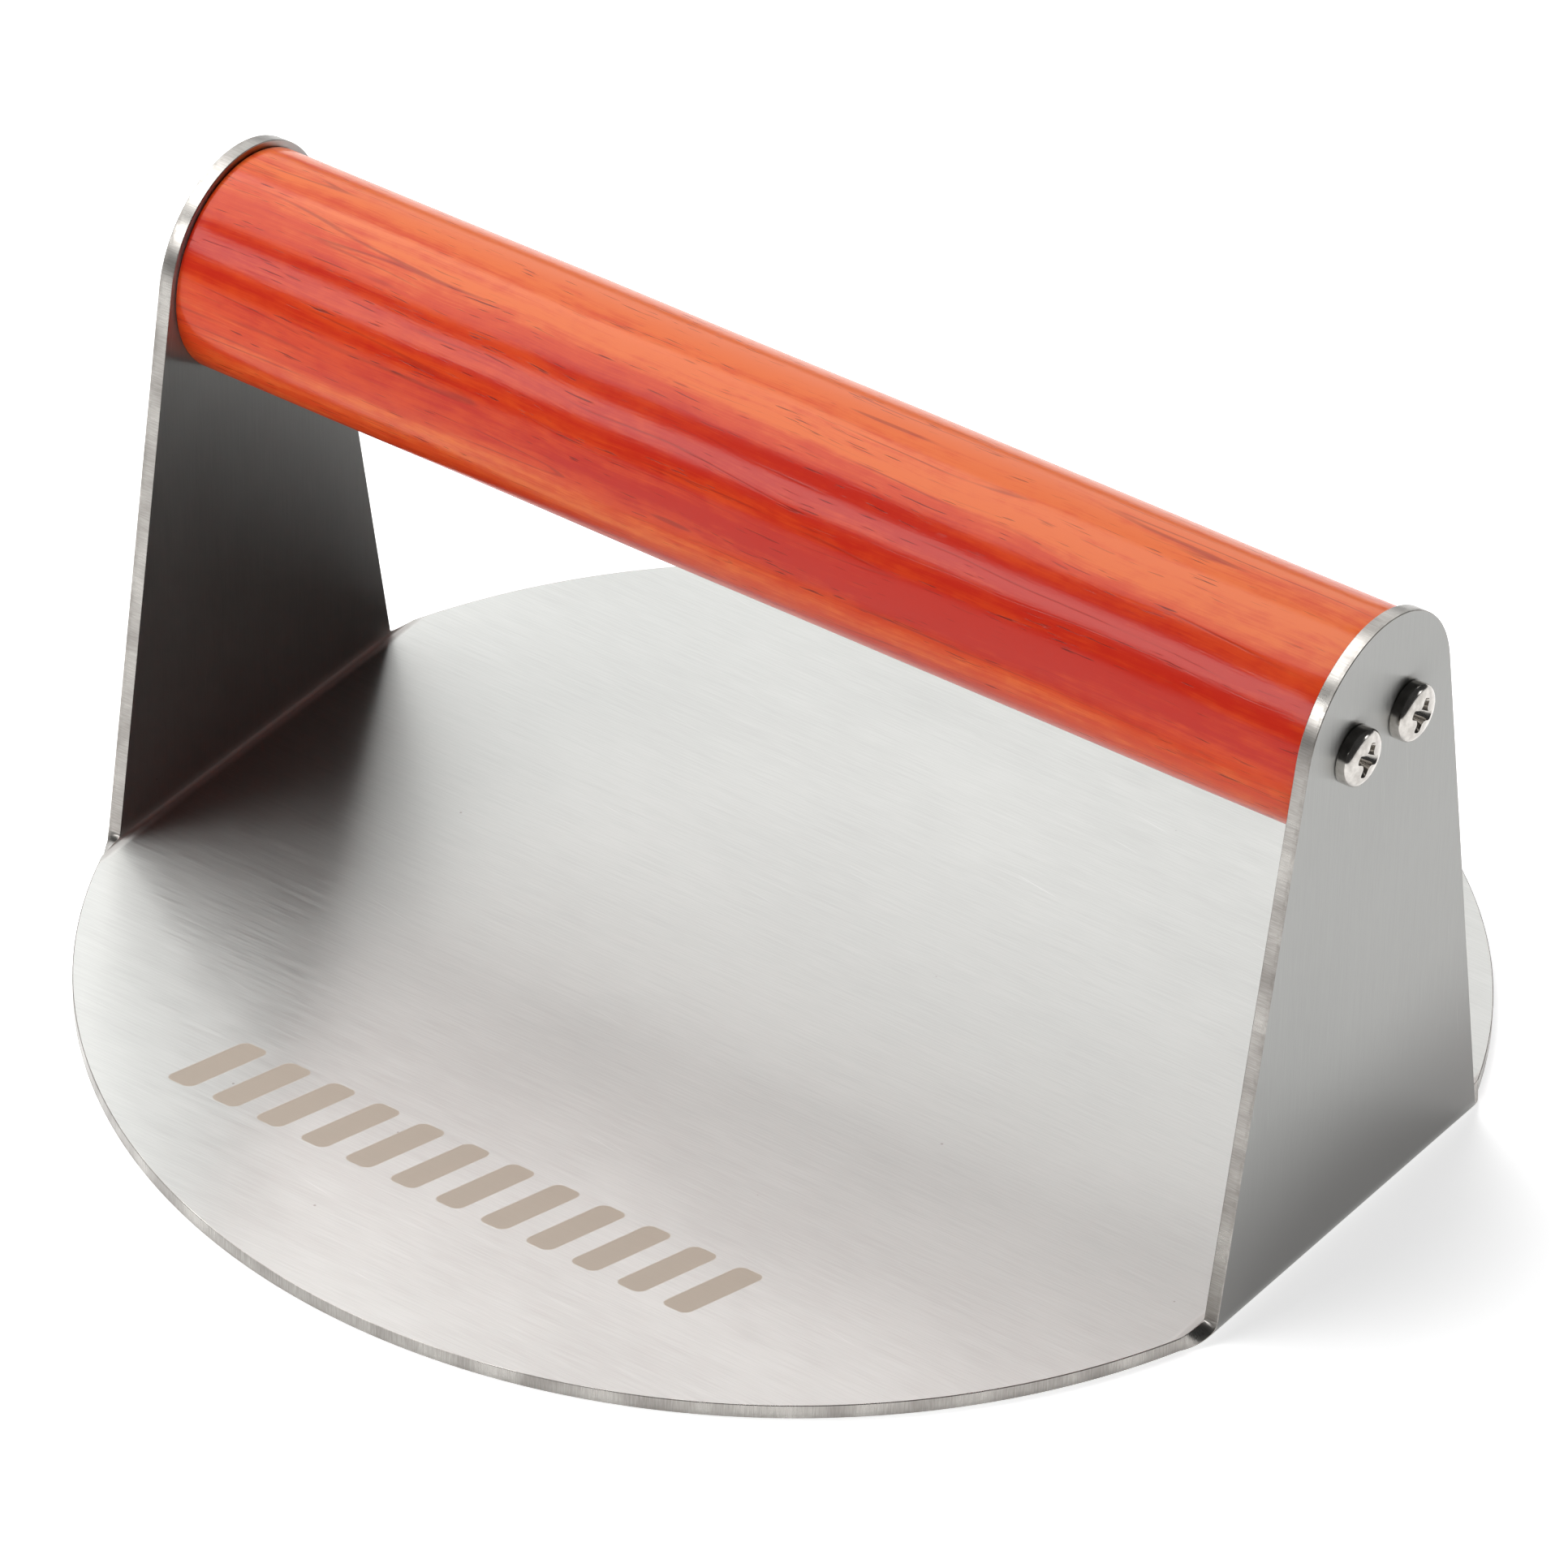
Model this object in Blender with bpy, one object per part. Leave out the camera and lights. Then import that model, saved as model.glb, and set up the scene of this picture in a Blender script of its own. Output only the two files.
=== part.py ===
"""Round griddle press: one bent stainless sheet with a wooden dowel screwed between its two tabs.

Units are metres, with +Z up. The origin is the centre of the disc's underside, +X runs along the
handle and +Y points to the back. Run it with: blender --background --python part.py
"""

import math

import bmesh
import bpy
from mathutils import Matrix, Vector

# ---- Driving dimensions: sheet ----
DISC_DIAMETER = 0.165
SHEET_THICKNESS = 0.0018
BEND_INNER_RADIUS = 0.0004
BEND_NEUTRAL_FACTOR = 0.44  # where the sheet keeps its length, as a share of its thickness
BEND_INSET = 0.0058  # from the disc's rim, on the handle's line, to where a bend starts
TAB_SPLAY = math.radians(0.8)  # how far each tab springs back past upright
TAB_BASE_WIDTH = 0.0534  # between a tab's straight edges, carried down to the resting plane
TAB_EDGE_MARGIN = 0.0007  # how far a tab's round top stands out past the handle
CORNER_RADIUS = 0.0012  # inside corner between the disc's rim and a tab's edge

# ---- Driving dimensions: handle ----
HANDLE_DIAMETER = 0.0272
HANDLE_HEIGHT = 0.0694  # handle's axis above the resting plane
HANDLE_END_EASE = 0.0006  # rounding of the dowel's end edges

# ---- Driving dimensions: screws ----
SCREW_SPACING = 0.0107
SCREW_HEAD_DIAMETER = 0.0070
SCREW_HEAD_HEIGHT = 0.0022
SCREW_HEAD_WALL = 0.0009  # height of the head's upright side, below its dome
SCREW_DOME_POWER = 0.72  # below 1 gives the dome a flatter top and rounder shoulders
SCREW_SHANK_DIAMETER = 0.0035
SCREW_LENGTH = 0.0200  # under the head, point included
SCREW_POINT_LENGTH = 0.0045
SCREW_POINT_DIAMETER = 0.0006
RECESS_SPAN = 0.0042
RECESS_SLOT = 0.0010
RECESS_DEPTH = 0.0016
RECESS_TAPER = 0.45  # span at the recess's floor, as a share of the span at its mouth

# ---- Fits ----
FIT_GAP = 0.0003  # between pieces that touch
PILOT_EXTRA_DEPTH = 0.0010  # free length of a pilot hole past the screw's point
CUTTER_EXTRA = 0.0020  # how far a cutter stands out of the face that it opens

# ---- Resolution ----
DISC_STEP = math.radians(2.5)
TAB_TOP_STEPS = 24
CORNER_STEPS = 4
BEND_STEPS = 8
HANDLE_SEGMENTS = 56
HANDLE_EASE_STEPS = 3
SCREW_SEGMENTS = 24
DOME_STEPS = 5
HOLE_SEGMENTS = 24
SHARP_ANGLE = math.radians(35.0)
SCORE_TOLERANCE = 1e-7  # how near a vertex may be to a bend step and count as on it

# ---- Worked out from the sizes above ----
DISC_RADIUS = DISC_DIAMETER / 2
BEND_OUTER_RADIUS = BEND_INNER_RADIUS + SHEET_THICKNESS
BEND_NEUTRAL_RADIUS = BEND_INNER_RADIUS + BEND_NEUTRAL_FACTOR * SHEET_THICKNESS
BEND_ANGLE = math.pi / 2 - TAB_SPLAY
BEND_LENGTH = BEND_NEUTRAL_RADIUS * BEND_ANGLE
BEND_START = DISC_RADIUS - BEND_INSET
TAB_TOP_RADIUS = HANDLE_DIAMETER / 2 + TAB_EDGE_MARGIN
SCREW_HOLE_DIAMETER = SCREW_SHANK_DIAMETER + 2 * FIT_GAP

# Each screw's side along X, its side along Y, and how far its cross recess is turned.
SCREWS = {
    "screw_right_front": (1, -1, math.radians(-27.0)),
    "screw_right_back": (1, 1, math.radians(-29.0)),
    "screw_left_front": (-1, -1, math.radians(14.0)),
    "screw_left_back": (-1, 1, math.radians(38.0)),
}


def clear_scene():
    """Remove every object that the scene starts with."""
    for found in list(bpy.data.objects):
        bpy.data.objects.remove(found, do_unlink=True)


def principled(name, color, roughness, metallic):
    """Make a Principled material.

    Args:
        name: the material's name.
        color: linear red, green and blue.
        roughness: surface roughness, 0 to 1.
        metallic: 1 for bare metal, 0 for anything else.

    Returns:
        The new material.
    """
    material = bpy.data.materials.new(name)
    material.use_nodes = True
    material.diffuse_color = (*color, 1.0)
    shader = material.node_tree.nodes["Principled BSDF"]
    shader.inputs["Base Color"].default_value = (*color, 1.0)
    shader.inputs["Roughness"].default_value = roughness
    shader.inputs["Metallic"].default_value = metallic
    return material


def add_object(name, mesh_builder, material=None):
    """Turn a bmesh into a named object with smooth round sides and crisp edges.

    Args:
        name: the object's name.
        mesh_builder: the bmesh, which is freed here.
        material: the object's material, if it is a real piece.

    Returns:
        The new object, linked to the scene.
    """
    bmesh.ops.recalc_face_normals(mesh_builder, faces=mesh_builder.faces[:])
    mesh = bpy.data.meshes.new(name)
    mesh_builder.to_mesh(mesh)
    mesh_builder.free()
    mesh.shade_smooth()
    mesh.set_sharp_from_angle(angle=SHARP_ANGLE)
    if material is not None:
        mesh.materials.append(material)
    made = bpy.data.objects.new(name, mesh)
    bpy.context.scene.collection.objects.link(made)
    return made


def cut_with(piece, cutter):
    """Cut a piece with a hidden guide shape through a live Boolean."""
    cutter.hide_render = True
    cutter.display_type = "WIRE"
    modifier = piece.modifiers.new("cut_" + cutter.name, "BOOLEAN")
    modifier.operation = "DIFFERENCE"
    modifier.solver = "EXACT"
    modifier.object = cutter


def arc(center, radius, start, end, steps):
    """Points on an arc, both ends included.

    Args:
        center: the arc's centre in the plane.
        radius: its radius.
        start: first angle, in radians.
        end: last angle, in radians.
        steps: number of straight steps.

    Returns:
        A list of 2-D points.
    """
    turns = [start + (end - start) * step / steps for step in range(steps + 1)]
    return [center + radius * Vector((math.cos(turn), math.sin(turn))) for turn in turns]


def height_to_flat(height):
    """Distance from the centre, on the unbent sheet, of a place at this height on a tab."""
    bend_top = BEND_OUTER_RADIUS * (1 - math.sin(TAB_SPLAY))
    return BEND_START + BEND_LENGTH + (height - bend_top) / math.cos(TAB_SPLAY)


def face_x(height, bend_radius):
    """Where a tab's face is along X at a height.

    Args:
        height: height above the resting plane, above the bend.
        bend_radius: the bend's outer radius for the outer face, its inner radius for the inner face.

    Returns:
        Distance from the centre along X.
    """
    above = height - BEND_OUTER_RADIUS + bend_radius * math.sin(TAB_SPLAY)
    return BEND_START + bend_radius * math.cos(TAB_SPLAY) + above * math.tan(TAB_SPLAY)


def right_tab_half():
    """Back half of the +X tab's outline on the unbent sheet, from its top down to the disc's rim.

    Returns:
        A list of 2-D points that ends on the disc's circle.
    """
    top_center = Vector((height_to_flat(HANDLE_HEIGHT), 0.0))
    base = Vector((height_to_flat(0.0), TAB_BASE_WIDTH / 2))
    to_center = top_center - base
    edge_angle = math.atan2(to_center.y, to_center.x) + math.asin(TAB_TOP_RADIUS / to_center.length)
    edge = Vector((math.cos(edge_angle), math.sin(edge_angle)))
    outward = Vector((-edge.y, edge.x))

    # The corner's centre is one corner radius away from the edge line and from the disc's circle.
    line = base + CORNER_RADIUS * outward
    reach = DISC_RADIUS + CORNER_RADIUS
    along = line.dot(edge)
    corner = line + edge * (math.sqrt(along ** 2 - line.dot(line) + reach ** 2) - along)

    top = arc(top_center, TAB_TOP_RADIUS, 0.0, edge_angle + math.pi / 2, TAB_TOP_STEPS // 2)
    rim_angle = math.atan2(-corner.y, -corner.x)
    inside = arc(corner, CORNER_RADIUS, edge_angle - math.pi / 2, rim_angle, CORNER_STEPS)
    return top + inside


def sheet_outline():
    """Outline of the unbent sheet, counter-clockwise: the disc's circle and both tabs."""
    half = right_tab_half()
    rim_start = math.atan2(half[-1].y, half[-1].x)
    rim_steps = math.ceil((math.pi - 2 * rim_start) / DISC_STEP)
    rim = arc(Vector((0.0, 0.0)), DISC_RADIUS, rim_start, math.pi - rim_start, rim_steps)
    mirrored = [Vector((point.x, -point.y)) for point in reversed(half[1:])]
    side = mirrored + half + rim[1:-1]
    return side + [-point for point in side]


def bent(place):
    """Where a point of the flat sheet lies once both tabs are folded up.

    Args:
        place: a point of the flat sheet, with its height above the underside as z.

    Returns:
        The same point on the bent sheet.
    """
    side = math.copysign(1.0, place.x)
    past = abs(place.x) - BEND_START
    if past <= 0.0:
        return place.copy()
    radius = BEND_OUTER_RADIUS - place.z
    angle = min(past / BEND_NEUTRAL_RADIUS, BEND_ANGLE)
    rise = max(past - BEND_LENGTH, 0.0)
    x = BEND_START + radius * math.sin(angle) + rise * math.cos(angle)
    z = BEND_OUTER_RADIUS - radius * math.cos(angle) + rise * math.sin(angle)
    return Vector((side * x, place.y, z))


def make_sheet(material):
    """Cut the flat sheet, score it along both bends, and fold the tabs up."""
    flat = bmesh.new()
    outline = [flat.verts.new((point.x, point.y, 0.0)) for point in sheet_outline()]
    face = flat.faces.new(outline)
    lifted = bmesh.ops.extrude_face_region(flat, geom=[face])["geom"]
    raised = [item for item in lifted if isinstance(item, bmesh.types.BMVert)]
    bmesh.ops.translate(flat, verts=raised, vec=(0.0, 0.0, SHEET_THICKNESS))
    for side in (-1, 1):
        for step in range(BEND_STEPS + 1):
            reach = BEND_START + BEND_LENGTH * step / BEND_STEPS
            everything = flat.verts[:] + flat.edges[:] + flat.faces[:]
            plane = Vector((side * reach, 0.0, 0.0))
            bmesh.ops.bisect_plane(
                flat, geom=everything, dist=SCORE_TOLERANCE, plane_co=plane, plane_no=(side, 0, 0)
            )
    for vert in flat.verts:
        vert.co = bent(vert.co)
    return add_object("press_plate", flat, material)


def turned(profile, segments):
    """Turn a profile about Z into a closed solid.

    Args:
        profile: (radius, height) pairs from the bottom to the top; both ends are closed with caps.
        segments: number of sides.

    Returns:
        A bmesh with the solid.
    """
    solid = bmesh.new()
    rings = []
    for radius, height in profile:
        turns = [math.tau * side / segments for side in range(segments)]
        ring = [solid.verts.new((radius * math.cos(t), radius * math.sin(t), height)) for t in turns]
        rings.append(ring)
    for low, high in zip(rings, rings[1:]):
        for side in range(segments):
            after = (side + 1) % segments
            solid.faces.new((low[side], low[after], high[after], high[side]))
    solid.faces.new(tuple(reversed(rings[0])))
    solid.faces.new(rings[-1])
    return solid


def handle_profile():
    """Profile of the dowel about its axis, with its end edges rounded."""
    radius = HANDLE_DIAMETER / 2
    inner = radius - HANDLE_END_EASE
    half_length = face_x(HANDLE_HEIGHT, BEND_INNER_RADIUS) - FIT_GAP / math.cos(TAB_SPLAY)
    end = half_length - HANDLE_END_EASE
    quarter = [math.pi / 2 * step / HANDLE_EASE_STEPS for step in range(HANDLE_EASE_STEPS + 1)]
    upper = [
        (inner + HANDLE_END_EASE * math.cos(turn), end + HANDLE_END_EASE * math.sin(turn))
        for turn in quarter
    ]
    return [(r, -h) for r, h in reversed(upper)] + upper


def screw_profile():
    """Profile of a screw: point, shank, flat underside, upright head side and dome.

    The underside of the head is at height 0 and the shank runs down from it.
    """
    head = SCREW_HEAD_DIAMETER / 2
    shank = SCREW_SHANK_DIAMETER / 2
    dome = SCREW_HEAD_HEIGHT - SCREW_HEAD_WALL
    profile = [
        (SCREW_POINT_DIAMETER / 2, -SCREW_LENGTH),
        (shank, -SCREW_LENGTH + SCREW_POINT_LENGTH),
        (shank, 0.0),
        (head, 0.0),
    ]
    for step in range(DOME_STEPS):
        turn = math.pi / 2 * step / DOME_STEPS
        reach = head * math.cos(turn) ** SCREW_DOME_POWER
        profile.append((reach, SCREW_HEAD_WALL + dome * math.sin(turn) ** SCREW_DOME_POWER))
    return profile


def cross_outline(span, slot):
    """Corners of a plus-shaped outline, counter-clockwise."""
    long, short = span / 2, slot / 2
    arm = [(long, -short), (long, short), (short, short)]
    corners = []
    for quarter in range(4):
        turn = Matrix.Rotation(quarter * math.pi / 2, 2)
        corners += [turn @ Vector(point) for point in arm]
    return corners


def make_recess_cutter(name):
    """Tapered cross that cuts a screw's drive recess."""
    floor_height = SCREW_HEAD_HEIGHT - RECESS_DEPTH
    floor_span = RECESS_SPAN * RECESS_TAPER
    top_span = floor_span + (RECESS_SPAN - floor_span) * (RECESS_DEPTH + CUTTER_EXTRA) / RECESS_DEPTH
    cutter = bmesh.new()
    rings = []
    for span, height in ((floor_span, floor_height), (top_span, SCREW_HEAD_HEIGHT + CUTTER_EXTRA)):
        outline = cross_outline(span, RECESS_SLOT)
        rings.append([cutter.verts.new((point.x, point.y, height)) for point in outline])
    low, high = rings
    for index in range(len(low)):
        after = (index + 1) % len(low)
        cutter.faces.new((low[index], low[after], high[after], high[index]))
    cutter.faces.new(tuple(reversed(low)))
    cutter.faces.new(high)
    return add_object(name, cutter)


def screw_place(side_x, side_y):
    """Placing of a screw: its origin under the head, its local +Z square out of the tab's outer face."""
    on_face = (side_x * face_x(HANDLE_HEIGHT, BEND_OUTER_RADIUS), side_y * SCREW_SPACING / 2, HANDLE_HEIGHT)
    outward = Matrix.Rotation(side_x * (math.pi / 2 + TAB_SPLAY), 4, "Y")
    return Matrix.Translation(on_face) @ outward @ Matrix.Translation((0.0, 0.0, FIT_GAP))


def make_screw(name, side_x, side_y, turn, material):
    """One pan-head wood screw, seated on its tab's outer face."""
    placing = screw_place(side_x, side_y) @ Matrix.Rotation(turn, 4, "Z")
    screw = add_object(name, turned(screw_profile(), SCREW_SEGMENTS), material)
    cutter = make_recess_cutter("recess_of_" + name)
    screw.matrix_world = placing
    cutter.matrix_world = placing
    cut_with(screw, cutter)


def make_hole_cutter(side_x, side_y):
    """Round pin that cuts a tab's screw hole and the pilot hole behind it."""
    radius = SCREW_HOLE_DIAMETER / 2
    depth = SCREW_LENGTH + PILOT_EXTRA_DEPTH
    profile = [(radius, -depth), (radius, CUTTER_EXTRA)]
    cutter = add_object(f"hole_{side_x}_{side_y}", turned(profile, HOLE_SEGMENTS))
    cutter.matrix_world = screw_place(side_x, side_y)
    return cutter


def make_handle(material):
    """The wooden dowel between the tabs, its ends cut to the tabs' slope."""
    dowel = turned(handle_profile(), HANDLE_SEGMENTS)
    for vert in dowel.verts:
        end = math.copysign(1.0, vert.co.z)
        vert.co.z -= end * vert.co.x * math.tan(TAB_SPLAY)
    handle = add_object("handle", dowel, material)
    along_x = Matrix.Rotation(math.pi / 2, 4, "Y")
    handle.matrix_world = Matrix.Translation((0.0, 0.0, HANDLE_HEIGHT)) @ along_x
    return handle


def main():
    """Build the whole press."""
    clear_scene()
    steel = principled("brushed_stainless", (0.60, 0.59, 0.57), 0.30, 1.0)
    wood = principled("stained_wood", (0.62, 0.09, 0.025), 0.34, 0.0)
    nickel = principled("polished_screw", (0.66, 0.63, 0.58), 0.16, 1.0)
    plate = make_sheet(steel)
    handle = make_handle(wood)
    for name, (side_x, side_y, turn) in SCREWS.items():
        make_screw(name, side_x, side_y, turn, nickel)
        hole = make_hole_cutter(side_x, side_y)
        cut_with(plate, hole)
        cut_with(handle, hole)


main()
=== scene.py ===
"""Appearance of the round griddle press: brushed sheet, stained dowel, four screws and a plain studio.

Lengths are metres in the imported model's own frame: +Z up, +X along the handle, +Y to the back.
"""

import logging
import math
from dataclasses import dataclass
from enum import Enum
from typing import ClassVar

import bmesh
import bpy
from mathutils import Matrix, Vector


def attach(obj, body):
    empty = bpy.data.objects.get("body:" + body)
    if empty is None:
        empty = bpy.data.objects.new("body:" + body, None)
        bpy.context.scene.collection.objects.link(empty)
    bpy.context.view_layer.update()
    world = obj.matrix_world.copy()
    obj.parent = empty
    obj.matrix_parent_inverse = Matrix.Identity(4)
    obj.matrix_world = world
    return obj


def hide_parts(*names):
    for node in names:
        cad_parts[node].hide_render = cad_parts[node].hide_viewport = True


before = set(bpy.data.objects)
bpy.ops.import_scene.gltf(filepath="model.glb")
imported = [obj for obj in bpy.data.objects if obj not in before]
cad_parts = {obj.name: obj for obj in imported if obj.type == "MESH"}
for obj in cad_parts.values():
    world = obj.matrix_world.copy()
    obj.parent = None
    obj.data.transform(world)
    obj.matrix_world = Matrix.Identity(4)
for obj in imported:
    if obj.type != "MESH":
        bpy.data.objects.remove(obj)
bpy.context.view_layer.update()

LOG = logging.getLogger("griddle_press")
MILLIMETRE = 0.001
BODY = "root"
Color = tuple[float, float, float]
Span = tuple[float, float]
Profile = list[Span]
Socket = bpy.types.NodeSocket
Value = Socket | float | Color
MIX_FACTOR, MIX_FIRST, MIX_SECOND, MIX_RESULT = 0, 6, 7, 2  # the mix node's sockets for colours


class Slot(Enum):
    """Material slots of the record."""

    STEEL = "brushed_stainless"
    WOOD = "stained_wood"
    NICKEL = "polished_screw"


class Side(Enum):
    """The two ends of the handle along X."""

    LEFT = -1
    RIGHT = 1


class Rank(Enum):
    """The two screws of one tab along Y."""

    FRONT = -1
    BACK = 1


# ---- shader building ----


@dataclass(frozen=True)
class Pattern:
    """A smooth random layer: feature size along each axis in millimetres, and its finer layers."""

    size: tuple[float, ...]
    detail: float = 2.0
    roughness: float = 0.5

    def factors(self) -> Color:
        """What a place is multiplied by; an axis without a size has no variation."""
        return (*(1 / length for length in self.size), 0.0)[:3]


class ShaderGraph:
    """One material and the helpers that wire its nodes."""

    def __init__(self, name: str) -> None:
        """Start a material with only its Principled shader.

        Args:
            name: the material's name.
        """
        self.material = bpy.data.materials.new(name)
        self.material.use_nodes = True
        self.tree = self.material.node_tree
        self.shader = self.tree.nodes["Principled BSDF"]

    def feed(self, socket: Socket, value: Value) -> None:
        """Put a constant into a socket, or link another node's output to it.

        Args:
            socket: the input to fill.
            value: a constant, a colour or an output.
        """
        if isinstance(value, Socket):
            self.tree.links.new(value, socket)
        elif isinstance(value, tuple) and socket.type == "RGBA":
            socket.default_value = (*value, 1.0)
        else:
            socket.default_value = value

    def node(self, kind: str, inputs: dict[str | int, Value], **settings: str) -> bpy.types.Node:
        """Add a node, set its properties and fill its inputs.

        Args:
            kind: Blender's name of the node.
            inputs: constants or outputs by the input's name or number.
            settings: properties by name.

        Returns:
            The node.
        """
        made = self.tree.nodes.new(kind)
        for key, value in settings.items():
            setattr(made, key, value)
        for key, value in inputs.items():
            self.feed(made.inputs[key], value)
        return made

    def calc(self, operation: str, first: Value, second: Value = 0.0, third: Value = 0.0) -> Socket:
        """Scalar arithmetic, by Blender's name of the operation."""
        inputs = {0: first, 1: second, 2: third}
        return self.node("ShaderNodeMath", inputs, operation=operation).outputs[0]

    def vector(self, operation: str, first: Socket, second: Value) -> Socket:
        """Vector arithmetic, by Blender's name of the operation."""
        return self.node("ShaderNodeVectorMath", {0: first, 1: second}, operation=operation).outputs[0]

    def times(self, first: Value, second: Value) -> Socket:
        """The product of two values."""
        return self.calc("MULTIPLY", first, second)

    def less(self, first: Value, second: Value) -> Socket:
        """The first value less the second."""
        return self.calc("SUBTRACT", first, second)

    def fused(self, value: Value, weight: Value, base: Value) -> Socket:
        """A value times its weight, on top of a base."""
        return self.calc("MULTIPLY_ADD", value, weight, base)

    def around(self, value: Value, weight: Value, base: Value) -> Socket:
        """How far a value lies above 0.5, times its weight, on top of a base."""
        return self.fused(self.less(value, 0.5), weight, base)

    def turned(self, vector: Socket, angle: float) -> Socket:
        """A vector turned about Z by an angle in radians."""
        inputs = {"Vector": vector, "Angle": angle}
        return self.node("ShaderNodeVectorRotate", inputs, rotation_type="Z_AXIS").outputs[0]

    def parts(self, vector: Socket) -> tuple[Socket, ...]:
        """The X, Y and Z of a vector."""
        return tuple(self.node("ShaderNodeSeparateXYZ", {0: vector}).outputs)

    def noise(self, place: Socket, pattern: Pattern) -> Socket:
        """Smooth noise around 0.5.

        Args:
            place: where it is read, in millimetres.
            pattern: its feature size and finer layers.

        Returns:
            The noise value.
        """
        inputs = {"Vector": self.vector("MULTIPLY", place, pattern.factors()), "Scale": 1.0}
        inputs |= {"Detail": pattern.detail, "Roughness": pattern.roughness}
        return self.node("ShaderNodeTexNoise", inputs, noise_dimensions="3D").outputs[0]

    def specks(self, place: Socket, pattern: Pattern) -> Socket:
        """Distance to the nearest of many scattered points, as a share of their spacing."""
        inputs = {"Vector": self.vector("MULTIPLY", place, pattern.factors()), "Scale": 1.0}
        return self.node("ShaderNodeTexVoronoi", inputs, feature="F1").outputs["Distance"]

    def ranged(
        self, value: Value, low: float, high: float, to_low: float = 0.0, to_high: float = 1.0
    ) -> Socket:
        """A value mapped with soft ends from the range low to high onto to_low to to_high."""
        inputs = dict(enumerate((value, low, high, to_low, to_high)))
        return self.node("ShaderNodeMapRange", inputs, interpolation_type="SMOOTHSTEP").outputs[0]

    def blend(self, factor: Value, first: Value, second: Value) -> Socket:
        """A colour between two colours, by the second one's share."""
        inputs = {MIX_FACTOR: factor, MIX_FIRST: first, MIX_SECOND: second}
        return self.node("ShaderNodeMix", inputs, data_type="RGBA").outputs[MIX_RESULT]

    def bump(self, height: Socket, strength: float, distance: float, under: Socket | None = None) -> Socket:
        """A normal raised by a height.

        Args:
            height: the height.
            strength: share of the bump that shows.
            distance: real height of one unit, in millimetres.
            under: another bump's normal to build on.

        Returns:
            The normal.
        """
        inputs = {"Strength": strength, "Distance": distance * MILLIMETRE, "Height": height}
        if under is not None:
            inputs["Normal"] = under
        return self.node("ShaderNodeBump", inputs).outputs[0]

    def sheet_place(self, map_name: str) -> Socket:
        """Place on the unbent sheet in millimetres, from a UV map kept in metres."""
        made = self.node("ShaderNodeUVMap", {}, uv_map=map_name)
        return self.vector("MULTIPLY", made.outputs[0], (1 / MILLIMETRE,) * 3)

    def object_place(self) -> Socket:
        """Place in the object's own frame, in millimetres."""
        made = self.node("ShaderNodeTexCoord", {})
        return self.vector("MULTIPLY", made.outputs["Object"], (1 / MILLIMETRE,) * 3)

    def set(self, name: str, value: Value) -> None:
        """Set or link one of the Principled shader's sockets."""
        self.feed(self.shader.inputs[name], value)


# ---- finishes ----


@dataclass(frozen=True)
class BarMotif:
    """Etched band of slanted bars, like sear marks, in millimetres on the sheet."""

    left: float = -44.0
    right: float = 33.0
    middle: float = -54.6
    height: float = 11.0
    bar_width: float = 3.6
    pitch: float = 6.4
    slant: float = 0.30
    corner: float = 1.0
    softness: float = 0.12

    def mask(self, graph: ShaderGraph, place: Socket) -> Socket:
        """Where the bars are.

        Args:
            graph: the graph to build in.
            place: place on the sheet in millimetres.

        Returns:
            1 inside the bars and 0 outside.
        """
        across, along, _ = graph.parts(place)
        rise = graph.less(along, self.middle)
        shifted = graph.less(across, graph.times(rise, self.slant))
        index = graph.calc("FLOOR", graph.calc("DIVIDE", graph.less(shifted, self.left), self.pitch))
        center = graph.fused(index, self.pitch, self.left + self.pitch / 2)
        side = graph.calc("ABSOLUTE", graph.less(shifted, center))
        past_side = graph.calc("MAXIMUM", graph.less(side, self.bar_width / 2 - self.corner), 0.0)
        end = graph.calc("ABSOLUTE", rise)
        past_end = graph.calc("MAXIMUM", graph.less(end, self.height / 2 - self.corner), 0.0)
        square = graph.fused(past_end, past_end, graph.times(past_side, past_side))
        distance = graph.less(graph.calc("SQRT", square), self.corner)
        inside = graph.ranged(distance, -self.softness, self.softness, 1.0, 0.0)
        after_start = graph.calc("GREATER_THAN", shifted, self.left)
        before_end = graph.calc("LESS_THAN", shifted, self.right)
        return graph.times(inside, graph.times(after_start, before_end))


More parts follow.
